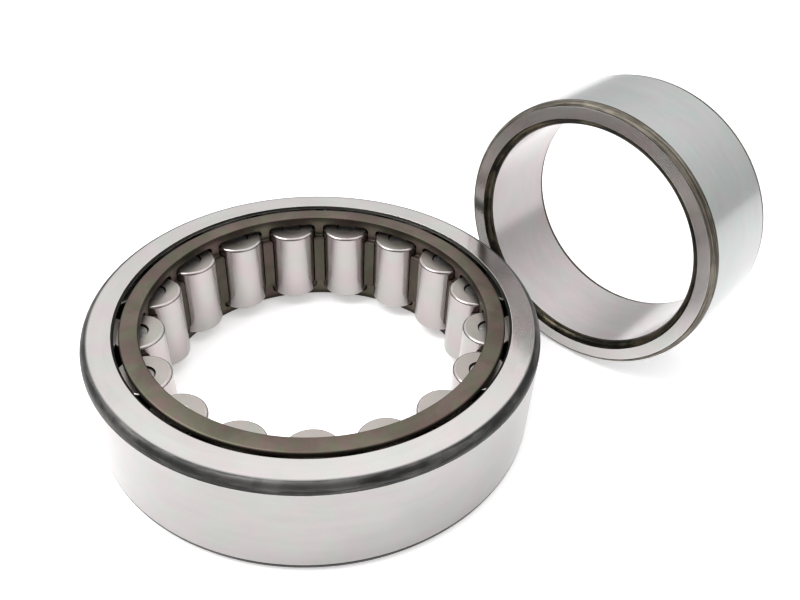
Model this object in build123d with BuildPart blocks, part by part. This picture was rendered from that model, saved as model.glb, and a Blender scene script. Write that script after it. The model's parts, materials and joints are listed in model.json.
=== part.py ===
"""Cylindrical roller bearing, 55 x 100 x 25 mm, with a ribbed outer ring and a plain, separable inner ring.

Millimetres, +Z up. The origin is the centre of the outer ring, on its axis and at mid-width. The outer ring
lies flat with its cage and rollers. The inner ring is out of the bearing: it stands on its raceway beside the
outer ring, with its axis level and along +Y.
"""

import os
from math import cos, radians, sin

from build123d import *

# Boundary dimensions of the bearing
OUTSIDE_DIAMETER = 100.0
BORE_DIAMETER = 55.0
WIDTH = 25.0

# Raceways and rolling elements
OUTER_RACEWAY_DIAMETER = 90.0
INNER_RACEWAY_DIAMETER = 66.0
ROLLER_DIAMETER = 12.0
ROLLER_LENGTH = 18.5
ROLLER_COUNT = 17
RADIAL_GAP = 0.02  # between a roller and the outer raceway
END_GAP = 0.04  # between a roller's end and a rib

# Outer ring
OUTER_CORNER_RADIAL = 1.8
OUTER_CORNER_AXIAL = 2.25
RIB_BORE_DIAMETER = 86.1
RIB_CHAMFER = 0.5
RIB_INNER_EDGE = 0.2
UNDERCUT_WIDTH = 0.8  # grinding relief where the raceway meets a rib
UNDERCUT_HEIGHT = 0.5
UNDERCUT_DEPTH = 0.2

# Inner ring
INNER_CORNER_RADIAL = 1.1
INNER_CORNER_AXIAL = 1.75
BORE_CORNER_RADIAL = 1.6
BORE_CORNER_AXIAL = 1.9
INNER_RING_SIDE_OFFSET = 30.7  # along +X, from the outer ring's axis to the inner ring's axis
INNER_RING_FACE_DISTANCE = 56.1  # along +Y, from the outer ring's axis to the inner ring's near face

# Rollers
ROLLER_CORNER = 0.6
RECESS_RADIUS = 2.6  # shallow dimple in each end face
RECESS_DEPTH = 0.45
RECESS_WALL = 0.3  # radial run of the dimple's sloping wall

# Cage: one pressing from sheet steel
SHEET = 1.2
CAGE_FLANGE_DIAMETER = 84.2
CAGE_FACE_INSET = 0.25  # cage flange below the outer ring's side face
END_WALL_RADIUS = 38.06  # inner face of the wall beside each flange
BAR_RADIUS = 36.4  # inner face of the bars between the rollers
LEDGE_HEIGHT = 7.0  # level step between each end wall and the bars
CAGE_BEND = 0.3  # tight corners of the pressing
POCKET_GAP = 0.15  # around a roller
POCKET_HALF_LENGTH = 10.2
POCKET_CORNER = 1.2
CAGE_EDGE = 0.15  # deburred edge of the flanges

# Worked out from the above
half_width = WIDTH / 2
outer_radius = OUTSIDE_DIAMETER / 2
bore_radius = BORE_DIAMETER / 2
outer_raceway_radius = OUTER_RACEWAY_DIAMETER / 2
inner_raceway_radius = INNER_RACEWAY_DIAMETER / 2
roller_radius = ROLLER_DIAMETER / 2
pitch_radius = outer_raceway_radius - RADIAL_GAP - roller_radius
rib_radius = RIB_BORE_DIAMETER / 2
rib_height = ROLLER_LENGTH / 2 + END_GAP
arc_share = sin(radians(45))  # place of a corner arc's middle point, as a share of the corner

os.makedirs("parts", exist_ok=True)


def corner_middle(centre_x, centre_y, run_x, run_y):
    """Middle point of a quarter-round corner about a centre, with signed runs along x and y."""
    return (centre_x + run_x * arc_share, centre_y + run_y * arc_share)


def save(builder, name):
    """Label a finished piece and write its STEP file."""
    builder.part.label = name
    export_step(builder.part, f"parts/{name}.step")


# Outer ring: half of the section above mid-width, mirrored and turned about the bearing's axis
outer_corner_x = outer_radius - OUTER_CORNER_RADIAL
outer_corner_y = half_width - OUTER_CORNER_AXIAL

with BuildPart() as outer_ring:
    with BuildSketch(Plane.XZ):
        with BuildLine():
            Line((outer_raceway_radius, 0), (outer_raceway_radius, rib_height - UNDERCUT_WIDTH))
            ThreePointArc(
                (outer_raceway_radius, rib_height - UNDERCUT_WIDTH),
                (outer_raceway_radius + UNDERCUT_DEPTH, rib_height + UNDERCUT_DEPTH / 2),
                (outer_raceway_radius - UNDERCUT_HEIGHT, rib_height),
            )
            Polyline(
                (outer_raceway_radius - UNDERCUT_HEIGHT, rib_height),
                (rib_radius + RIB_INNER_EDGE, rib_height),
                (rib_radius, rib_height + RIB_INNER_EDGE),
                (rib_radius, half_width - RIB_CHAMFER),
                (rib_radius + RIB_CHAMFER, half_width),
                (outer_corner_x, half_width),
            )
            ThreePointArc(
                (outer_corner_x, half_width),
                corner_middle(outer_corner_x, outer_corner_y, OUTER_CORNER_RADIAL, OUTER_CORNER_AXIAL),
                (outer_radius, outer_corner_y),
            )
            Polyline(
                (outer_radius, outer_corner_y),
                (outer_radius, 0),
                (outer_raceway_radius, 0),
            )
        make_face()
        mirror(about=Plane.XZ)
    revolve(axis=Axis.Z)
save(outer_ring, "outer_ring")

# Pocket: the space that one roller takes in the cage, with rounded ends, on the roller's own axis
with BuildPart() as pocket:
    Cylinder(radius=roller_radius + POCKET_GAP, height=2 * POCKET_HALF_LENGTH)
    fillet(pocket.edges().filter_by(GeomType.CIRCLE), radius=POCKET_CORNER)

# Cage: half of the section above mid-width, from the inner faces round the flange to the outer faces.
# A flange, an end wall, a level ledge and the bar, each one sheet thick
cage_face = half_width - CAGE_FACE_INSET
flange_radius = CAGE_FLANGE_DIAMETER / 2

with BuildPart() as cage:
    with BuildSketch(Plane.XZ):
        with BuildLine():
            FilletPolyline(
                (BAR_RADIUS, 0),
                (BAR_RADIUS, LEDGE_HEIGHT),
                (END_WALL_RADIUS, LEDGE_HEIGHT),
                (END_WALL_RADIUS, cage_face),
                (flange_radius, cage_face),
                radius=CAGE_BEND,
            )
            Line((flange_radius, cage_face), (flange_radius, cage_face - SHEET))
            FilletPolyline(
                (flange_radius, cage_face - SHEET),
                (END_WALL_RADIUS + SHEET, cage_face - SHEET),
                (END_WALL_RADIUS + SHEET, LEDGE_HEIGHT - SHEET),
                (BAR_RADIUS + SHEET, LEDGE_HEIGHT - SHEET),
                (BAR_RADIUS + SHEET, 0),
                radius=CAGE_BEND,
            )
            Line((BAR_RADIUS + SHEET, 0), (BAR_RADIUS, 0))
        make_face()
        mirror(about=Plane.XZ)
    revolve(axis=Axis.Z)
    outermost_edges = cage.edges().filter_by(GeomType.CIRCLE).group_by(SortBy.RADIUS)[-1]
    chamfer(outermost_edges, length=CAGE_EDGE)
    with PolarLocations(pitch_radius, ROLLER_COUNT):
        add(pocket.part, mode=Mode.SUBTRACT)
save(cage, "cage")

# Rollers: half of the section above mid-length, mirrored and turned about the roller's own axis
roller_half = ROLLER_LENGTH / 2
roller_corner_x = roller_radius - ROLLER_CORNER
roller_corner_y = roller_half - ROLLER_CORNER

for number in range(1, ROLLER_COUNT + 1):
    angle = radians((number - 1) * 360 / ROLLER_COUNT)
    centre = (pitch_radius * cos(angle), pitch_radius * sin(angle), 0)
    outward = (cos(angle), sin(angle), 0)
    section_plane = Plane(origin=centre, x_dir=outward, z_dir=(sin(angle), -cos(angle), 0))
    with BuildPart() as roller:
        with BuildSketch(section_plane):
            with BuildLine():
                Polyline(
                    (roller_radius, roller_corner_y),
                    (roller_radius, 0),
                    (0, 0),
                    (0, roller_half - RECESS_DEPTH),
                    (RECESS_RADIUS - RECESS_WALL, roller_half - RECESS_DEPTH),
                    (RECESS_RADIUS, roller_half),
                    (roller_corner_x, roller_half),
                )
                ThreePointArc(
                    (roller_corner_x, roller_half),
                    corner_middle(roller_corner_x, roller_corner_y, ROLLER_CORNER, ROLLER_CORNER),
                    (roller_radius, roller_corner_y),
                )
            make_face()
            mirror(about=Plane.XZ)
        revolve(axis=Axis(centre, (0, 0, 1)))
    save(roller, f"roller_{number:02d}")

# Inner ring: stands on the same level as the outer ring, its section turned about its own level axis
inner_centre = (
    INNER_RING_SIDE_OFFSET,
    INNER_RING_FACE_DISTANCE + half_width,
    inner_raceway_radius - half_width,
)
bore_corner_x = bore_radius + BORE_CORNER_RADIAL
bore_corner_y = half_width - BORE_CORNER_AXIAL
inner_corner_x = inner_raceway_radius - INNER_CORNER_RADIAL
inner_corner_y = half_width - INNER_CORNER_AXIAL

with BuildPart() as inner_ring:
    with BuildSketch(Plane(origin=inner_centre)):
        with BuildLine():
            Line((bore_radius, 0), (bore_radius, bore_corner_y))
            ThreePointArc(
                (bore_radius, bore_corner_y),
                corner_middle(bore_corner_x, bore_corner_y, -BORE_CORNER_RADIAL, BORE_CORNER_AXIAL),
                (bore_corner_x, half_width),
            )
            Line((bore_corner_x, half_width), (inner_corner_x, half_width))
            ThreePointArc(
                (inner_corner_x, half_width),
                corner_middle(inner_corner_x, inner_corner_y, INNER_CORNER_RADIAL, INNER_CORNER_AXIAL),
                (inner_raceway_radius, inner_corner_y),
            )
            Polyline(
                (inner_raceway_radius, inner_corner_y),
                (inner_raceway_radius, 0),
                (bore_radius, 0),
            )
        make_face()
        mirror(about=Plane.XZ)
    revolve(axis=Axis(inner_centre, (0, 1, 0)))
save(inner_ring, "inner_ring")
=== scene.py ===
"""Looks of a cylindrical roller bearing: ground steel rings and rollers, and a brown pressed cage.

Lengths are in metres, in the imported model's frame: +Z up, the outer ring lying flat round the
origin, and the inner ring standing on its raceway beside it, with its axis along +Y. Each piece is
built about its own axis, as its local Z, so one set of turned-surface materials serves them all.
"""

import json
from collections import namedtuple
from math import acos, cos, pi, radians, sin, sqrt, tan

import bmesh
import bpy
from mathutils import Matrix, Vector


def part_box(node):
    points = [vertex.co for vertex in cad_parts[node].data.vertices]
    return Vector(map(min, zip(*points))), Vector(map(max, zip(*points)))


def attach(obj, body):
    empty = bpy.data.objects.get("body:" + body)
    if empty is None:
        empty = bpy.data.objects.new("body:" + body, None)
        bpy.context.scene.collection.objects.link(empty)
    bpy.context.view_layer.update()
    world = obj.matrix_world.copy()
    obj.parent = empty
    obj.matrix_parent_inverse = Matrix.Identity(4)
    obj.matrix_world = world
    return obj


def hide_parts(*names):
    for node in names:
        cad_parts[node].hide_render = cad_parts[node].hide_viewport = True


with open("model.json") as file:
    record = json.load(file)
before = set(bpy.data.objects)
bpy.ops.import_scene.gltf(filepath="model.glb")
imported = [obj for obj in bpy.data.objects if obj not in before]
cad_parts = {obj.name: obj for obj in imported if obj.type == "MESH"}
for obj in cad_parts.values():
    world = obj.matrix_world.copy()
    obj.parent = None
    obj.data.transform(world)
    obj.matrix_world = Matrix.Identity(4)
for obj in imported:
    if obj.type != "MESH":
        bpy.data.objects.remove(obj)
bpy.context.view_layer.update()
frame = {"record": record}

MM = 0.001

# Camera
CAMERA_PLACE = Vector((105.6, -89.1, 121.6)) * MM
CAMERA_AIM = Vector((-10.85, 39.74, -12.5)) * MM
CAMERA_ROLL = radians(2.99)
CAMERA_LENS = 35.45
CAMERA_SENSOR = 36.0
CAMERA_CLIP = 0.01

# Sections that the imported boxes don't give
OUTER_RACEWAY_RADIUS = 45.0 * MM
OUTER_CORNER = (1.8 * MM, 2.25 * MM)  # radial and axial runs
RIB_BORE_RADIUS = 43.05 * MM
RIB_CHAMFER = 0.5 * MM
RIB_GAP = 0.04 * MM
UNDERCUT_WIDTH = 0.8 * MM
UNDERCUT_DEPTH = 0.2 * MM
INNER_CORNER = (1.1 * MM, 1.75 * MM)
BORE_CORNER = (1.6 * MM, 1.9 * MM)
ROLLER_COUNT = 17
ROLLER_CORNER = 0.6 * MM
RECESS_RADIUS = 2.6 * MM
RECESS_DEPTH = 0.45 * MM
RECESS_WALL = 0.3 * MM
SHEET = 1.2 * MM
WALL_RADIUS = 38.06 * MM
BAR_RADIUS = 36.4 * MM
LEDGE_HEIGHT = 7.0 * MM
CAGE_BEND = 0.3 * MM
POCKET_GAP = 0.15 * MM
POCKET_HALF_LENGTH = 10.2 * MM
POCKET_CORNER = 1.2 * MM

# Edge breaks, which catch the light, and how finely the pieces are turned
GROUND_EDGE = 0.12 * MM
RIM_POWER = 3  # how tightly a rounded corner's rim value, and so its painted shade at the borders, keeps to its edges
FLANGE_BEND = 0.3 * MM
SHEARED_EDGE = 0.5 * MM  # rolled-over edge of the flange, on its upper side
BURR_EDGE = 0.12 * MM
WINDOW_EDGE = 0.09 * MM
RING_SEGMENTS = 512
ROLLER_SEGMENTS = 128
ROLLER_TURN = 137.5  # degrees from one roller to the next, so that no two look alike
EDGE_STEPS = 4
CORNER_STEPS = 14
BAR_SHARES = (0, 0.3, 0.6, 0.9, 1)
WALL_SHARES = (0.33, 0.67, 1)
BAR_COLUMNS = 8
POCKET_COLUMNS = 20
THICKNESS_ROWS = 4
WELD = 0.002 * MM
ON_AXIS = 1e-7  # a point nearer the axis than this is a pole
BREAK_ANGLE = radians(50)
BREAK_STEPS = 2

# Texture scales, per metre, and depths of relief
CLOUD_SCALE = 75
TINT_SCALE = 160
SMEAR_SCALE = 210
WEAR_SCALE = 600
BROAD_LINES = 420
OXIDE_CLOUD_SCALE = 200
OXIDE_SPECK_SCALE = 1500
CAGE_CLOUD_SCALE = 90
CAGE_BLOTCH_SCALE = 230
CAGE_GRAIN_SCALE = 2400
CAGE_PIT_SCALE = 900
FIBRE_SCALE = 900
CAST_SCALE = 6
GRIND_DEPTH = 0.006 * MM
SPECK_DEPTH = 0.01 * MM
TOOL_DEPTH = 0.06 * MM
PIT_DEPTH = 0.02 * MM
GRAIN_DEPTH = 0.008 * MM
FIBRE_DEPTH = 0.05 * MM
WEAR_SHARE = 0.6
SMEAR_RANGE = (0.56, 0.74)
GRIND_ROUGHNESS = 0.12
SPECK_ROUGHNESS = 0.18
GRAIN_ROUGHNESS = 0.16
GRIND_ANISOTROPY = 0.35
OXIDE_METAL = 0.85
BAND_SHARE = 0.55  # of an oxide corner's pattern, with the tool's finer lines as the rest
OXIDE_RANGE = (0.44, 0.57)
CAGE_DULL = 0.86
CAGE_BRIGHT = 1.12

# Studio
FLOOR_SIZE = 6.0
PAPER_COOL = (0.93, 0.93, 0.94, 1)
PAPER_WARM = (0.94, 0.93, 0.93, 1)
PAPER_ROUGHNESS = 0.8
PAPER_SPECULAR = 0.2
PAINTED_FLOOR_GLOW = 0.36  # painted light: the floor glows in a pool under the bearing, leaving only soft shadows at the contacts
GLOW_INNER = 0.06
GLOW_OUTER = 0.17
DOME_COLOUR = (1.0, 1.0, 1.0, 1)
HORIZON_LIGHT = 0.7
ZENITH_LIGHT = 0.9
ZENITH_POWER = 1.65
DARK_SIDE = Vector((0.6, -0.55, 0.55)).normalized()  # towards the room behind the camera
DARK_INNER = radians(10)
DARK_OUTER = radians(50)
DARK_LIGHT = 0.35  # share of the sky's light left there
SOFTBOX_PLACE = Vector((-0.35, -0.45, 0.9))
SOFTBOX_SIZE = 0.6
SOFTBOX_RADIANCE = 4.5
EXPOSURE = 0.0
LOOK = "Medium High Contrast"


# ---- Sections and turned meshes ----

# A section's corner: its place, its edge radius, the zone of the stretch after it, and how near it is
# to a zone's rim: 1 on the rim, 0 away from it, and -1 where a painted highlight lightens the rim.
Corner = namedtuple("Corner", "radial axial radius zone rim", defaults=(0.0,))


def rounded(corners):
    """Dense outline from corners, as (radial, axial, zone, rim), with rim 1 on the edge breaks."""
    outline = []
    count = len(corners)
    for index, (radial, axial, radius, zone, rim) in enumerate(corners):
        here = Vector((radial, axial))
        if radius == 0:
            outline.append((radial, axial, zone, rim))
            continue
        before = (Vector(corners[index - 1][:2]) - here).normalized()
        after = (Vector(corners[(index + 1) % count][:2]) - here).normalized()
        half_angle = before.angle(after) / 2
        centre = here + (before + after).normalized() * radius / sin(half_angle)
        reach = radius / tan(half_angle)
        first = here + before * reach - centre
        last = here + after * reach - centre
        for step in range(EDGE_STEPS + 1):
            share = step / EDGE_STEPS
            point = centre + first.lerp(last, share).normalized() * radius
            outline.append((point.x, point.y, zone, 1.0 if 0 < step < EDGE_STEPS else 0.0))
    return outline


def corner_band(centre, runs, start, end, zone, first_rim=1.0):
    """Points of a rounded ring corner: a quarter ellipse about a centre, without its two ends."""
    points = []
    for step in range(1, CORNER_STEPS):
        share = step / CORNER_STEPS
        angle = radians(start + (end - start) * share)
        rim = abs(2 * share - 1) ** RIM_POWER * (first_rim if share < 0.5 else 1.0)
        radial = centre[0] + runs[0] * cos(angle)
        axial = centre[1] + runs[1] * sin(angle)
        points.append(Corner(radial, axial, 0, zone, rim))
    return points


def mirrored(upper, outside, inside):
    """A whole section from the corners above mid-width, and its outside and inside zones."""
    lower = []
    for index in range(len(upper) - 1, -1, -1):
        corner = upper[index]
        zone = upper[index - 1].zone if index else inside
        lower.append(corner._replace(axial=-corner.axial, zone=zone))
    return upper[:-1] + [upper[-1]._replace(zone=outside)] + lower


def mirrored_end(upper):
    """The lower end of an open section, from the corners of its upper end."""
    lower = []
    for index in range(len(upper) - 1, -1, -1):
        corner = upper[index]
        lower.append(corner._replace(axial=-corner.axial, zone=upper[index - 1].zone))
    return lower


def turned(name, outline, segments, materials, closed=True):
    """A mesh turned about local Z from an outline, with its own normals and a rim value per point."""
    points = len(outline)
    vertices = []
    normals = []
    rims = []
    starts = []
    for index, (radial, axial, _, rim) in enumerate(outline):
        before = outline[index - 1] if closed or index else outline[0]
        after = outline[(index + 1) % points] if closed or index < points - 1 else outline[index]
        normal = Vector((after[1] - before[1], before[0] - after[0])).normalized()
        starts.append(len(vertices))
        on_axis = radial < ON_AXIS
        for segment in range(1 if on_axis else segments):
            angle = 2 * pi * segment / segments
            vertices.append((radial * cos(angle), radial * sin(angle), axial))
            across = 0.0 if on_axis else normal.x
            normals.append(Vector((across * cos(angle), across * sin(angle), normal.y)).normalized())
            rims.append(rim)
    faces = []
    zones = []
    for index in range(points if closed else points - 1):
        following = (index + 1) % points
        base = starts[index]
        top = starts[following]
        near_pole = outline[index][0] < ON_AXIS
        far_pole = outline[following][0] < ON_AXIS
        for segment in range(segments):
            turn = (segment + 1) % segments
            near = [base] if near_pole else [base + segment, base + turn]
            far = [top] if far_pole else [top + turn, top + segment]
            faces.append(near + far)
            zones.append(outline[index][2])
    mesh = bpy.data.meshes.new(name)
    mesh.from_pydata(vertices, [], faces)
    mesh.polygons.foreach_set("material_index", zones)
    mesh.shade_smooth()
    mesh.normals_split_custom_set_from_vertices(normals)
    mesh.attributes.new("rim", "FLOAT", "POINT").data.foreach_set("value", rims)
    for material in materials:
        mesh.materials.append(material)
    piece = bpy.data.objects.new(name, mesh)
    bpy.context.scene.collection.objects.link(piece)
    return piece


# ---- Materials ----

class Finish:
    """One procedural material, with short ways to add its nodes."""

    def __init__(self, name):
        self.material = bpy.data.materials.new(name)
        self.material.use_nodes = True
        self.tree = self.material.node_tree
        self.tree.nodes.clear()
        self.shader = self.add("ShaderNodeBsdfPrincipled")
        output = self.add("ShaderNodeOutputMaterial")
        self.join(self.shader.outputs["BSDF"], output.inputs["Surface"])
        self.place = self.add("ShaderNodeTexCoord").outputs["Object"]

    def add(self, kind, **settings):
        node = self.tree.nodes.new(kind)
        for key, value in settings.items():
            setattr(node, key, value)
        return node

    def join(self, source, target):
        if isinstance(source, bpy.types.NodeSocket):
            self.tree.links.new(source, target)
        else:
            target.default_value = source

    def math(self, operation, *values):
        node = self.add("ShaderNodeMath", operation=operation)
        for socket, value in zip(node.inputs, values):
            self.join(value, socket)
        return node.outputs[0]

    def vector(self, operation, *values):
        node = self.add("ShaderNodeVectorMath", operation=operation)
        for socket, value in zip(node.inputs, values):
            self.join(value, socket)
        return node.outputs["Value" if operation == "LENGTH" else "Vector"]

    def noise(self, place, scale, detail=2.0, rough=0.5, distortion=0.0):
        node = self.add("ShaderNodeTexNoise")
        self.join(place, node.inputs["Vector"])
        node.inputs["Scale"].default_value = scale
        node.inputs["Detail"].default_value = detail
        node.inputs["Roughness"].default_value = rough
        node.inputs["Distortion"].default_value = distortion
        return node.outputs["Fac"]

    def band(self, value, low, high, to_low=0.0, to_high=1.0):
        node = self.add("ShaderNodeMapRange", interpolation_type="SMOOTHSTEP")
        for socket, number in zip(node.inputs, (value, low, high, to_low, to_high)):
            self.join(number, socket)
        return node.outputs["Result"]

    def blend(self, share, first, second, mode="MIX"):
        node = self.add("ShaderNodeMix", data_type="RGBA", blend_type=mode)
        self.join(share, node.inputs[0])
        self.join(first, node.inputs[6])
        self.join(second, node.inputs[7])
        return node.outputs[2]

    def lay(self, around, across):
        """Coordinates that stretch a texture round the piece's axis, fine across it, with no seam."""
        split = self.add("ShaderNodeSeparateXYZ")
        self.join(self.place, split.inputs[0])
        flat = self.add("ShaderNodeCombineXYZ")
        self.join(split.outputs["X"], flat.inputs["X"])
        self.join(split.outputs["Y"], flat.inputs["Y"])
        radius = self.vector("LENGTH", flat.outputs[0])
        heading = self.vector("NORMALIZE", flat.outputs[0])
        stretched = self.vector("SCALE", heading)
        stretched.node.inputs["Scale"].default_value = around
        parts = self.add("ShaderNodeSeparateXYZ")
        self.join(stretched, parts.inputs[0])
        level = self.math("MULTIPLY", self.math("ADD", radius, split.outputs["Z"]), across)
        joined = self.add("ShaderNodeCombineXYZ")
        self.join(parts.outputs["X"], joined.inputs["X"])
        self.join(parts.outputs["Y"], joined.inputs["Y"])
        self.join(level, joined.inputs["Z"])
        return joined.outputs[0]

    def rim(self):
        """How near the edge of its zone a point is, from the mesh."""
        return self.add("ShaderNodeAttribute", attribute_name="rim").outputs["Fac"]

    def wear(self, share):
        """Edge wear, broken up by noise."""
        patchy = self.band(self.noise(self.place, WEAR_SCALE, 3), 0.35, 0.65, 0.0, share)
        return self.math("MULTIPLY", self.math("MAXIMUM", self.rim(), 0.0), patchy)

    def bump(self, height, strength, distance, under=None):
        node = self.add("ShaderNodeBump")
        self.join(height, node.inputs["Height"])
        node.inputs["Strength"].default_value = strength
        node.inputs["Distance"].default_value = distance
        if under is not None:
            self.join(under, node.inputs["Normal"])
        return node.outputs[0]


def ground_steel(name, colour, roughness, lines=5200, line_depth=0.06, streak=0.05, smudge=0.015):
    """Ground bearing steel: grinding lines round the axis, soft mottling, tints and smudges."""
    finish = Finish(name)
    fine = finish.noise(finish.lay(around=9, across=lines), 1.0, 4, 0.7)
    broad = finish.noise(finish.lay(around=2.5, across=BROAD_LINES), 1.0, 2, 0.6)
    cloud = finish.noise(finish.place, CLOUD_SCALE, 3, 0.55, 0.4)
    tint = finish.noise(finish.place, TINT_SCALE, 2, 0.5)
    smear = finish.noise(finish.place, SMEAR_SCALE, 4, 0.6, 1.2)

    bright = [channel * (1 + MOTTLE) for channel in colour]
    dull = [channel * (1 - MOTTLE) for channel in colour]
    tone = finish.blend(finish.band(cloud, 0.3, 0.7), (*dull, 1), (*bright, 1))
    warm = (1.0 + TINT, 1.0 - TINT / 2, 1.0, 1)
    cool = (1.0 - TINT, 1.0 + TINT / 2, 1.0 - TINT / 3, 1)
    tints = finish.blend(finish.band(tint, 0.35, 0.65), warm, cool)
    tone = finish.blend(1.0, tone, tints, "MULTIPLY")
    lines_tone = finish.math("ADD", finish.math("MULTIPLY", fine, streak * 2), 1 - streak)
    broad_tone = finish.math("ADD", finish.math("MULTIPLY", broad, streak * 2), 1 - streak)
    shade = finish.math("MULTIPLY", lines_tone, broad_tone)
    tone = finish.blend(1.0, tone, shade, "MULTIPLY")
    tone = finish.blend(finish.wear(WEAR_SHARE), tone, EDGE_BRIGHT)
    finish.join(tone, finish.shader.inputs["Base Color"])

    smears = finish.band(smear, *SMEAR_RANGE, 0.0, smudge)
    grain = finish.math("MULTIPLY", finish.math("SUBTRACT", fine, 0.5), GRIND_ROUGHNESS)
    rough = finish.math("ADD", finish.math("ADD", smears, grain), roughness)
    finish.join(rough, finish.shader.inputs["Roughness"])
    finish.join(finish.bump(fine, line_depth, GRIND_DEPTH), finish.shader.inputs["Normal"])
    finish.shader.inputs["Metallic"].default_value = 1.0
    finish.shader.inputs["Anisotropic"].default_value = GRIND_ANISOTROPY
    return finish.material


def oxide_steel(name, dark, light, roughness, bands=900, fine=2600, border_shade=0.4):
    """Unground steel, dark with oxide in bands left by the turning tool, with painted shade darkening
    its borders and a painted highlight on rims marked negative.
    """
    finish = Finish(name)
    band = finish.noise(finish.lay(around=2, across=bands), 1.0, 2, 0.5)
    tool = finish.noise(finish.lay(around=6, across=fine), 1.0, 3, 0.65)
    cloud = finish.noise(finish.place, OXIDE_CLOUD_SCALE, 3, 0.6, 0.6)
    speck = finish.noise(finish.place, OXIDE_SPECK_SCALE, 2, 0.6)
    band_part = finish.math("MULTIPLY", band, BAND_SHARE)
    tool_part = finish.math("MULTIPLY", tool, 1 - BAND_SHARE)
    share = finish.math("ADD", band_part, tool_part)
    tone = finish.blend(finish.band(share, *OXIDE_RANGE), (*dark, 1), (*light, 1))
    patch = finish.band(cloud, 0.3, 0.7, 0.8, 1.2)
    tone = finish.blend(1.0, tone, patch, "MULTIPLY")
    rim = finish.rim()
    # Painted shade: dark lines along the corner's borders, where the rim value is high.
    border = finish.band(rim, 0.35, 0.9, 1.0, border_shade)
    tone = finish.blend(1.0, tone, border, "MULTIPLY")
    # Painted highlight: where the rim value is negative, a lighter colour is laid on the rim.
    tone = finish.blend(finish.band(rim, -0.3, -0.9, 0.0, 0.9), tone, PAINTED_HIGHLIGHT_RIM)
    finish.join(tone, finish.shader.inputs["Base Color"])
    rough = finish.math("ADD", finish.math("MULTIPLY", speck, SPECK_ROUGHNESS), roughness)
    finish.join(rough, finish.shader.inputs["Roughness"])
    relief = finish.bump(speck, 0.2, SPECK_DEPTH)
    finish.join(finish.bump(tool, 0.6, TOOL_DEPTH, relief), finish.shader.inputs["Normal"])
    finish.shader.inputs["Metallic"].default_value = OXIDE_METAL
    return finish.material


def pressed_steel(name, colour, roughness):
    """Tumbled sheet steel: brown-grey, blotched with faint heat tints, with painted shade at its rims
    and on its bars.
    """
    finish = Finish(name)
    cloud = finish.noise(finish.place, CAGE_CLOUD_SCALE, 3, 0.6, 0.8)
    blotch = finish.noise(finish.place, CAGE_BLOTCH_SCALE, 3, 0.55, 0.5)
    grain = finish.noise(finish.place, CAGE_GRAIN_SCALE, 3, 0.65)
    pits = finish.noise(finish.place, CAGE_PIT_SCALE, 2, 0.5)
    dark = [channel * CAGE_DULL for channel in colour]
    light = [channel * CAGE_BRIGHT for channel in colour]
    tone = finish.blend(finish.band(cloud, 0.3, 0.7), (*dark, 1), (*light, 1))
    tints = finish.blend(finish.band(blotch, 0.38, 0.62), CAGE_OLIVE, CAGE_MAUVE)
    tone = finish.blend(1.0, tone, tints, "MULTIPLY")
    speckle = finish.math("ADD", finish.math("MULTIPLY", grain, 0.3), 0.85)
    tone = finish.blend(1.0, tone, speckle, "MULTIPLY")
    split = finish.add("ShaderNodeSeparateXYZ")
    finish.join(finish.place, split.inputs[0])
    level = finish.math("ABSOLUTE", split.outputs["Z"])
    # Painted shade: below the ledge the bars are darkened.
    bar_top = (LEDGE_HEIGHT - CAGE_BEND, LEDGE_HEIGHT + CAGE_BEND)
    bar_painted_shade = finish.band(level, *bar_top, BAR_SHADE, 1.0)
    tone = finish.blend(1.0, tone, bar_painted_shade, "MULTIPLY")
    # Painted shade: darker at the flange's outer edge, beside the ring's rib, and at its inner bend.
    border = finish.band(finish.rim(), 0.1, 0.9, 1.0, CAGE_RIM_SHADE)
    tone = finish.blend(1.0, tone, border, "MULTIPLY")
    finish.join(tone, finish.shader.inputs["Base Color"])
    rough = finish.math("ADD", finish.math("MULTIPLY", grain, GRAIN_ROUGHNESS), roughness)
    finish.join(rough, finish.shader.inputs["Roughness"])
    relief = finish.bump(pits, 0.25, PIT_DEPTH)
    finish.join(finish.bump(grain, 0.2, GRAIN_DEPTH, relief), finish.shader.inputs["Normal"])
    finish.shader.inputs["Metallic"].default_value = 1.0
    return finish.material


TINT = 0.03
MOTTLE = 0.025
CAGE_RIM_SHADE = 0.5
EDGE_BRIGHT = (0.8, 0.79, 0.77, 1)
# Painted highlight colour, for rims with a negative rim value.
PAINTED_HIGHLIGHT_RIM = (0.38, 0.37, 0.365, 1)
BAR_SHADE = 0.74  # painted shade: the bars, down between the rollers, are darker than the flange
CAGE_OLIVE = (0.94, 1.04, 0.91, 1)
CAGE_MAUVE = (1.08, 0.95, 0.99, 1)

RING_COLOUR = (0.515, 0.498, 0.49)
ROLLER_COLOUR = (0.412, 0.386, 0.378)
ROLLER_END_COLOUR = (0.375, 0.357, 0.332)
RACEWAY_COLOUR = (0.44, 0.452, 0.447)
OUTSIDE_COLOUR = (0.365, 0.357, 0.352)
BORE_COLOUR = (0.42, 0.397, 0.397)
OUTER_OXIDE = (0.045, 0.045, 0.044)
OUTER_OXIDE_LIGHT = (0.105, 0.103, 0.1)
INNER_OXIDE = (0.085, 0.076, 0.062)
INNER_OXIDE_LIGHT = (0.2, 0.183, 0.155)
BORE_OXIDE = (0.024, 0.023, 0.018)
BORE_OXIDE_LIGHT = (0.1, 0.085, 0.06)
RIB_OXIDE = (0.035, 0.035, 0.03)
RIB_OXIDE_LIGHT = (0.07, 0.068, 0.058)
# The recess wall is coloured dark all round, drawing a dark ring round each roller's end recess.
RECESS_WALL_DARK = (0.06, 0.056, 0.054)
RECESS_WALL_PALE = (0.12, 0.113, 0.108)
RECESS_COLOUR = (0.27, 0.263, 0.256)
RECESS_LIGHT = (0.37, 0.36, 0.35)
CAGE_COLOUR = (0.148, 0.129, 0.112)
CUT_COLOUR = (0.16, 0.142, 0.122)

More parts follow.
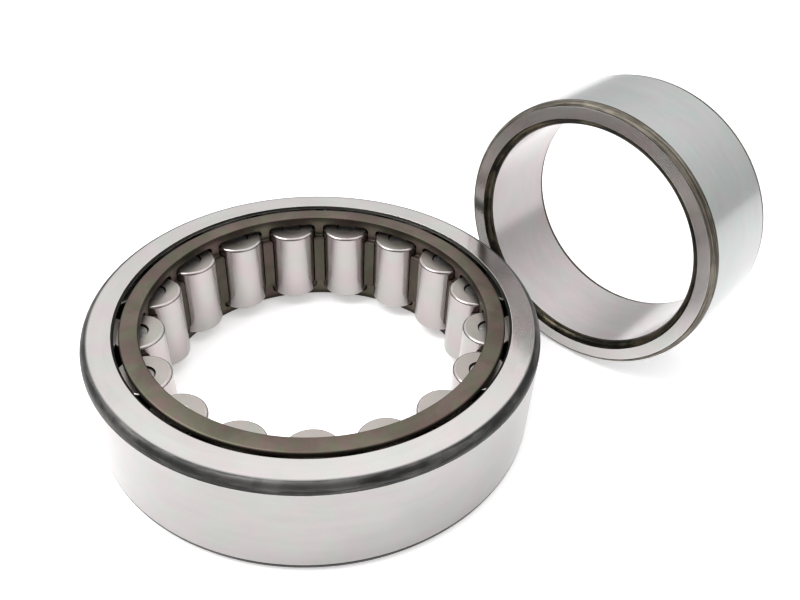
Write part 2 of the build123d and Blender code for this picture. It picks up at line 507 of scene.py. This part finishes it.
ring_face = ground_steel("ring_side_face", RING_COLOUR, 0.2, lines=4200)
ring_round = ground_steel("ring_ground_round", OUTSIDE_COLOUR, 0.2, lines=5200)
ring_bore = ground_steel("ring_bore", BORE_COLOUR, 0.2, lines=5200)
raceway = ground_steel("ring_raceway", RACEWAY_COLOUR, 0.16, lines=7000, smudge=0.02)
outer_corner = oxide_steel(
    "outer_ring_corner", OUTER_OXIDE, OUTER_OXIDE_LIGHT, 0.36, bands=1500, border_shade=0.5
)
inner_corner = oxide_steel(
    "inner_ring_corner", INNER_OXIDE, INNER_OXIDE_LIGHT, 0.4, bands=1700, fine=3600
)
bore_corner = oxide_steel("bore_corner", BORE_OXIDE, BORE_OXIDE_LIGHT, 0.26, bands=2000, fine=3000)
rib_corner = oxide_steel("rib_corner", RIB_OXIDE, RIB_OXIDE_LIGHT, 0.4, border_shade=0.6)
roller_round = ground_steel(
    "roller_ground_round", ROLLER_COLOUR, 0.2, lines=9000, line_depth=0.1, streak=0.03
)
roller_end = ground_steel("roller_end_face", ROLLER_END_COLOUR, 0.38, lines=5200, line_depth=0.1)
roller_recess = oxide_steel("roller_recess", RECESS_COLOUR, RECESS_LIGHT, 0.34)
recess_wall = oxide_steel("recess_wall", RECESS_WALL_DARK, RECESS_WALL_PALE, 0.4)
cage_sheet = pressed_steel("cage_sheet", CAGE_COLOUR, 0.42)
cage_cut = pressed_steel("cage_cut_wall", CUT_COLOUR, 0.4)


# ---- Outer ring ----

mounts = {mount["name"]: mount for mount in frame["record"]["mounts"]}
outer_radius = mounts["housing_seat"]["dims"]["r_mm"] * MM
half_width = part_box("outer_ring")[1].z
roller_low, roller_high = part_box("roller_01")
roller_half = roller_high.z
roller_radius = (roller_high.y - roller_low.y) / 2
pitch_radius = (roller_high.x + roller_low.x) / 2
rib_height = roller_half + RIB_GAP

# Zones of a ring's surface, in the order of its materials
FACE, ROUND, RACE, CORNER, RIB = range(5)
corner_centre = (outer_radius - OUTER_CORNER[0], half_width - OUTER_CORNER[1])
outer_section = [
    Corner(OUTER_RACEWAY_RADIUS, rib_height - UNDERCUT_WIDTH, GROUND_EDGE, RIB),
    Corner(OUTER_RACEWAY_RADIUS + UNDERCUT_DEPTH, rib_height - UNDERCUT_WIDTH / 2, GROUND_EDGE, RIB),
    Corner(OUTER_RACEWAY_RADIUS, rib_height, 0, ROUND),
    Corner(RIB_BORE_RADIUS, rib_height, GROUND_EDGE, ROUND),
    Corner(RIB_BORE_RADIUS, half_width - RIB_CHAMFER - GROUND_EDGE, 0, ROUND),
    Corner(RIB_BORE_RADIUS, half_width - RIB_CHAMFER, 0, RIB, 1.0),
    Corner(RIB_BORE_RADIUS + RIB_CHAMFER, half_width, 0, FACE, 1.0),
    Corner(RIB_BORE_RADIUS + RIB_CHAMFER + GROUND_EDGE, half_width, 0, FACE),
    Corner(corner_centre[0] - GROUND_EDGE, half_width, 0, FACE),
    # Painted highlight: a first_rim of -1 lightens the top side of this corner.
    Corner(corner_centre[0], half_width, 0, CORNER, -1.0),
    *corner_band(corner_centre, OUTER_CORNER, 90, 0, CORNER, first_rim=-1.0),
    Corner(outer_radius, corner_centre[1], 0, ROUND, 1.0),
    Corner(outer_radius, corner_centre[1] - GROUND_EDGE, 0, ROUND),
]
outer_ring = turned(
    "outer_ring_finished",
    rounded(mirrored(outer_section, ROUND, RACE)),
    RING_SEGMENTS,
    [ring_face, ring_round, raceway, outer_corner, rib_corner],
)
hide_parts("outer_ring")
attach(outer_ring, "outer_ring")


# ---- Inner ring ----

inner_centre = Vector(mounts["shaft_seat"]["pos_m"])
bore_radius = mounts["shaft_seat"]["dims"]["r_mm"] * MM
inner_radius = inner_centre.z + half_width
inner_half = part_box("inner_ring")[1].y - inner_centre.y

BORE_EDGE = RIB  # the inner ring has no ribs, and its bore corners take their slot
bore_centre = (bore_radius + BORE_CORNER[0], inner_half - BORE_CORNER[1])
rim_centre = (inner_radius - INNER_CORNER[0], inner_half - INNER_CORNER[1])
inner_section = [
    Corner(bore_radius, bore_centre[1] - GROUND_EDGE, 0, ROUND),
    Corner(bore_radius, bore_centre[1], 0, BORE_EDGE, 1.0),
    *corner_band(bore_centre, BORE_CORNER, 180, 90, BORE_EDGE),
    Corner(bore_centre[0], inner_half, 0, FACE, 1.0),
    Corner(bore_centre[0] + GROUND_EDGE, inner_half, 0, FACE),
    Corner(rim_centre[0] - GROUND_EDGE, inner_half, 0, FACE),
    Corner(rim_centre[0], inner_half, 0, CORNER, 1.0),
    *corner_band(rim_centre, INNER_CORNER, 90, 0, CORNER),
    Corner(inner_radius, rim_centre[1], 0, RACE, 1.0),
    Corner(inner_radius, rim_centre[1] - GROUND_EDGE, 0, RACE),
]
inner_ring = turned(
    "inner_ring_finished",
    rounded(mirrored(inner_section, RACE, ROUND)),
    RING_SEGMENTS,
    [ring_face, ring_bore, raceway, inner_corner, bore_corner],
)
inner_ring.matrix_world = Matrix.Translation(inner_centre) @ Matrix.Rotation(radians(-90), 4, "X")
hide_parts("inner_ring")
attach(inner_ring, "inner_ring")


# ---- Rollers ----

ROLLER_SIDE, ROLLER_END, ROLLER_RECESS, ROLLER_WALL = range(4)
end_flat = roller_radius - ROLLER_CORNER
end_centre = (end_flat, roller_half - ROLLER_CORNER)
roller_end_corners = [
    Corner(0, roller_half - RECESS_DEPTH, 0, ROLLER_RECESS),
    Corner(RECESS_RADIUS - 2 * RECESS_WALL, roller_half - RECESS_DEPTH, 0, ROLLER_RECESS),
    Corner(RECESS_RADIUS - RECESS_WALL, roller_half - RECESS_DEPTH, WINDOW_EDGE, ROLLER_WALL),
    Corner(RECESS_RADIUS, roller_half, WINDOW_EDGE, ROLLER_END),
    Corner(end_flat, roller_half, 0, ROLLER_SIDE),
    *corner_band(end_centre, (ROLLER_CORNER, ROLLER_CORNER), 90, 0, ROLLER_SIDE),
    Corner(roller_radius, roller_half - ROLLER_CORNER, 0, ROLLER_SIDE),
]
roller_outline = rounded(roller_end_corners + mirrored_end(roller_end_corners))

for number in range(1, ROLLER_COUNT + 1):
    node = f"roller_{number:02d}"
    low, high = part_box(node)
    roller = turned(
        f"{node}_finished",
        roller_outline,
        ROLLER_SEGMENTS,
        [roller_round, roller_end, roller_recess, recess_wall],
        closed=False,
    )
    place = Matrix.Translation((low + high) / 2)
    roller.matrix_world = place @ Matrix.Rotation(radians(ROLLER_TURN * number), 4, "Z")
    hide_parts(node)
    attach(roller, node)


# ---- Cage ----

def skin(bar_radius, wall_radius, ledge_height):
    """One side of the sheet from mid-width up to the pocket's end: bar, bend, ledge, bend and wall."""
    points = [(bar_radius, share * (ledge_height - CAGE_BEND)) for share in BAR_SHARES]
    for step in range(1, EDGE_STEPS + 1):
        angle = radians(90) * step / EDGE_STEPS
        points.append((
            bar_radius + CAGE_BEND * (1 - cos(angle)),
            ledge_height - CAGE_BEND * (1 - sin(angle)),
        ))
    for step in range(EDGE_STEPS + 1):
        angle = radians(90) * step / EDGE_STEPS
        points.append((
            wall_radius - CAGE_BEND * (1 - sin(angle)),
            ledge_height + CAGE_BEND * (1 - cos(angle)),
        ))
    wall_foot = ledge_height + CAGE_BEND
    round_foot = POCKET_HALF_LENGTH - POCKET_CORNER
    for share in WALL_SHARES:
        points.append((wall_radius, wall_foot + (round_foot - wall_foot) * share))
    for step in range(1, CORNER_STEPS // 2 + 1):
        angle = radians(90) * step / (CORNER_STEPS // 2)
        points.append((wall_radius, round_foot + POCKET_CORNER * sin(angle)))
    return points


def pocket_angle(radius, height):
    """Half-angle, about the bearing's axis, that a pocket takes at a point of the sheet."""
    past = max(0.0, min(abs(height) - (POCKET_HALF_LENGTH - POCKET_CORNER), POCKET_CORNER))
    pocket = roller_radius + POCKET_GAP - POCKET_CORNER + sqrt(max(0.0, POCKET_CORNER ** 2 - past ** 2))
    share = (radius ** 2 + pitch_radius ** 2 - pocket ** 2) / (2 * radius * pitch_radius)
    return acos(min(1.0, share))


def on_ring(radius, angle, height):
    return (radius * cos(angle), radius * sin(angle), height)


def patch(mesh, rows, zone):
    """Quads between neighbouring rows of points."""
    grid = [[mesh.verts.new(point) for point in row] for row in rows]
    for row, following in zip(grid, grid[1:]):
        for column in range(len(row) - 1):
            near = (row[column], row[column + 1])
            far = (following[column + 1], following[column])
            face = mesh.faces.new(near + far)
            face.material_index = zone
            face.smooth = True


def spread(first, last, count):
    return [first + (last - first) * step / count for step in range(count + 1)]


cage_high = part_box("cage")[1]
flange_radius = cage_high.x
cage_face = cage_high.z
sector = 2 * pi / ROLLER_COUNT
inner_skin = skin(BAR_RADIUS, WALL_RADIUS, LEDGE_HEIGHT)
outer_skin = skin(BAR_RADIUS + SHEET, WALL_RADIUS + SHEET, LEDGE_HEIGHT - SHEET)
flange_section = [
    Corner(WALL_RADIUS, POCKET_HALF_LENGTH, 0, 0),
    Corner(WALL_RADIUS, cage_face, FLANGE_BEND, 0),
    Corner(flange_radius, cage_face, SHEARED_EDGE, 0),
    Corner(flange_radius, cage_face - SHEET, BURR_EDGE, 0),
    Corner(WALL_RADIUS + SHEET, cage_face - SHEET, CAGE_BEND, 0),
    Corner(WALL_RADIUS + SHEET, POCKET_HALF_LENGTH, 0, 0),
]
flange_outline = rounded(flange_section)

SHEET_ZONE, CUT_ZONE = range(2)


def bar_angles(roller_angle, half_angle):
    """Angles across the bar from one pocket's side to the next."""
    return spread(roller_angle + half_angle, roller_angle + sector - half_angle, BAR_COLUMNS)


def pocket_angles(roller_angle, half_angle):
    """Angles across a pocket."""
    return spread(roller_angle - half_angle, roller_angle + half_angle, POCKET_COLUMNS)


def add_bar(mesh, roller_angle, side):
    """Inner and outer skins of the bar that follows a roller."""
    for surface in (inner_skin, outer_skin):
        rows = []
        for radius, height in surface:
            angles = bar_angles(roller_angle, pocket_angle(radius, height))
            rows.append([on_ring(radius, angle, side * height) for angle in angles])
        patch(mesh, rows, SHEET_ZONE)


def add_flange(mesh, roller_angle, side):
    """The flange over a bar and over the pocket before it."""
    bar_rows = []
    pocket_rows = []
    for radius, height, _, _ in flange_outline:
        at_pocket = max(WALL_RADIUS, min(radius, WALL_RADIUS + SHEET))
        if height > POCKET_HALF_LENGTH:
            at_pocket = WALL_RADIUS
        half_angle = pocket_angle(at_pocket, POCKET_HALF_LENGTH)
        over_bar = bar_angles(roller_angle, half_angle)
        bar_rows.append([on_ring(radius, angle, side * height) for angle in over_bar])
        over_pocket = pocket_angles(roller_angle, half_angle)
        pocket_rows.append([on_ring(radius, angle, side * height) for angle in over_pocket])
    patch(mesh, bar_rows, SHEET_ZONE)
    patch(mesh, pocket_rows, SHEET_ZONE)


def add_pocket_end(mesh, roller_angle, side):
    """The cut wall at a pocket's end."""
    rows = []
    for radius in spread(WALL_RADIUS, WALL_RADIUS + SHEET, THICKNESS_ROWS):
        angles = pocket_angles(roller_angle, pocket_angle(radius, POCKET_HALF_LENGTH))
        rows.append([on_ring(radius, angle, side * POCKET_HALF_LENGTH) for angle in angles])
    patch(mesh, rows, CUT_ZONE)


def add_pocket_side(mesh, roller_angle, side, hand):
    """The cut wall along one side of a pocket, between the two skins."""
    rows = []
    for inner_point, outer_point in zip(inner_skin, outer_skin):
        row = []
        for share in spread(0, 1, THICKNESS_ROWS):
            radius = inner_point[0] + (outer_point[0] - inner_point[0]) * share
            height = inner_point[1] + (outer_point[1] - inner_point[1]) * share
            angle = roller_angle + hand * pocket_angle(radius, height)
            row.append(on_ring(radius, angle, side * height))
        rows.append(row)
    patch(mesh, rows, CUT_ZONE)


cage_mesh = bmesh.new()
for number in range(ROLLER_COUNT):
    roller_angle = number * sector
    for side in (1, -1):
        add_bar(cage_mesh, roller_angle, side)
        add_flange(cage_mesh, roller_angle, side)
        add_pocket_end(cage_mesh, roller_angle, side)
        for hand in (1, -1):
            add_pocket_side(cage_mesh, roller_angle, side, hand)
bmesh.ops.remove_doubles(cage_mesh, verts=cage_mesh.verts, dist=WELD)
bmesh.ops.recalc_face_normals(cage_mesh, faces=cage_mesh.faces)
# The rim value marks the flange's outer edge and inner bend, where the cage's painted shade darkens it.
rim_layer = cage_mesh.verts.layers.float.new("rim")
for vertex in cage_mesh.verts:
    reach = vertex.co.xy.length
    outward = (reach - (flange_radius - SHEARED_EDGE)) / SHEARED_EDGE
    inward = 1 - (reach - WALL_RADIUS) / FLANGE_BEND
    if abs(vertex.co.z) > cage_face - SHEARED_EDGE:
        vertex[rim_layer] = max(0.0, min(1.0, max(outward, inward)))
for edge in cage_mesh.edges:
    if len({face.material_index for face in edge.link_faces}) > 1:
        edge.smooth = False
cage_data = bpy.data.meshes.new("cage_finished")
cage_mesh.to_mesh(cage_data)
cage_mesh.free()
cage_data.materials.append(cage_sheet)
cage_data.materials.append(cage_cut)
cage = bpy.data.objects.new("cage_finished", cage_data)
bpy.context.scene.collection.objects.link(cage)
edge_break = cage.modifiers.new("edge_break", "BEVEL")
edge_break.width = WINDOW_EDGE
edge_break.segments = BREAK_STEPS
edge_break.limit_method = "ANGLE"
edge_break.angle_limit = BREAK_ANGLE
edge_break.harden_normals = True
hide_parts("cage")
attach(cage, "cage")


# ---- Floor, light and camera ----

floor_mesh = bpy.data.meshes.new("floor")
edge = FLOOR_SIZE / 2
corners = [(-edge, -edge, 0), (edge, -edge, 0), (edge, edge, 0), (-edge, edge, 0)]
floor_mesh.from_pydata(corners, [], [(0, 1, 2, 3)])
floor = bpy.data.objects.new("floor", floor_mesh)
floor.location.z = -half_width
bpy.context.scene.collection.objects.link(floor)
paper = Finish("white_paper")
fibre = paper.noise(paper.place, FIBRE_SCALE, 3, 0.6)
cast = paper.band(paper.noise(paper.place, CAST_SCALE, 2, 0.5), 0.3, 0.7)
paper.join(paper.blend(cast, PAPER_COOL, PAPER_WARM), paper.shader.inputs["Base Color"])
paper.join(paper.bump(fibre, 0.1, FIBRE_DEPTH), paper.shader.inputs["Normal"])
paper.shader.inputs["Roughness"].default_value = PAPER_ROUGHNESS
paper.shader.inputs["Emission Color"].default_value = PAPER_WARM
# Painted light: the floor glows round the bearing, fading out between GLOW_INNER and GLOW_OUTER.
paper_reach = paper.vector("LENGTH", paper.place)
painted_floor_glow = paper.band(paper_reach, GLOW_INNER, GLOW_OUTER, PAINTED_FLOOR_GLOW, 0.0)
paper.join(painted_floor_glow, paper.shader.inputs["Emission Strength"])
paper.shader.inputs["Specular IOR Level"].default_value = PAPER_SPECULAR
floor_mesh.materials.append(paper.material)

world = bpy.data.worlds.new("studio")
world.use_nodes = True
bpy.context.scene.world = world
sky = world.node_tree
sky.nodes.clear()
heading = sky.nodes.new("ShaderNodeTexCoord").outputs["Generated"]
height = sky.nodes.new("ShaderNodeSeparateXYZ")
sky.links.new(heading, height.inputs[0])


def sky_math(operation, *values):
    """A math node of the sky, from sockets and numbers."""
    node = sky.nodes.new("ShaderNodeMath")
    node.operation = operation
    for socket, value in zip(node.inputs, values):
        if isinstance(value, bpy.types.NodeSocket):
            sky.links.new(value, socket)
        else:
            socket.default_value = value
    return node.outputs[0]


steep = sky_math("POWER", sky_math("MAXIMUM", height.outputs["Z"], 0.0), ZENITH_POWER)
dome = sky_math("MULTIPLY_ADD", steep, ZENITH_LIGHT, HORIZON_LIGHT)
facing = sky.nodes.new("ShaderNodeVectorMath")
facing.operation = "DOT_PRODUCT"
facing.inputs[1].default_value = DARK_SIDE
sky.links.new(heading, facing.inputs[0])
fall = sky.nodes.new("ShaderNodeMapRange")
fall.interpolation_type = "SMOOTHSTEP"
sky.links.new(facing.outputs["Value"], fall.inputs["Value"])
fall.inputs["From Min"].default_value = cos(DARK_OUTER)
fall.inputs["From Max"].default_value = cos(DARK_INNER)
fall.inputs["To Min"].default_value = 1.0
fall.inputs["To Max"].default_value = DARK_LIGHT
shaded = sky_math("MULTIPLY", dome, fall.outputs["Result"])
glow = sky.nodes.new("ShaderNodeBackground")
glow.inputs["Color"].default_value = DOME_COLOUR
sky.links.new(shaded, glow.inputs["Strength"])
world_output = sky.nodes.new("ShaderNodeOutputWorld")
sky.links.new(glow.outputs[0], world_output.inputs[0])

light = bpy.data.lights.new("front", "AREA")
light.shape = "RECTANGLE"
light.size = SOFTBOX_SIZE
light.size_y = SOFTBOX_SIZE
light.energy = SOFTBOX_RADIANCE * pi * SOFTBOX_SIZE * SOFTBOX_SIZE
softbox = bpy.data.objects.new("front", light)
softbox.location = SOFTBOX_PLACE
softbox.rotation_euler = (-SOFTBOX_PLACE).to_track_quat("-Z", "Y").to_euler()
bpy.context.scene.collection.objects.link(softbox)

forward = (CAMERA_AIM - CAMERA_PLACE).normalized()
level = forward.cross(Vector((0, 0, 1))).normalized()
upright = level.cross(forward)
right = level * cos(CAMERA_ROLL) + upright * sin(CAMERA_ROLL)
up = upright * cos(CAMERA_ROLL) - level * sin(CAMERA_ROLL)
camera_data = bpy.data.cameras.new("camera")
camera_data.lens = CAMERA_LENS
camera_data.sensor_width = CAMERA_SENSOR
camera_data.clip_start = CAMERA_CLIP
camera = bpy.data.objects.new("camera", camera_data)
axes = Matrix((right, up, -forward)).transposed().to_4x4()
camera.matrix_world = Matrix.Translation(CAMERA_PLACE) @ axes
bpy.context.scene.collection.objects.link(camera)
bpy.context.scene.camera = camera
bpy.context.scene.view_settings.view_transform = "Standard"
bpy.context.scene.view_settings.look = LOOK
bpy.context.scene.view_settings.exposure = EXPOSURE
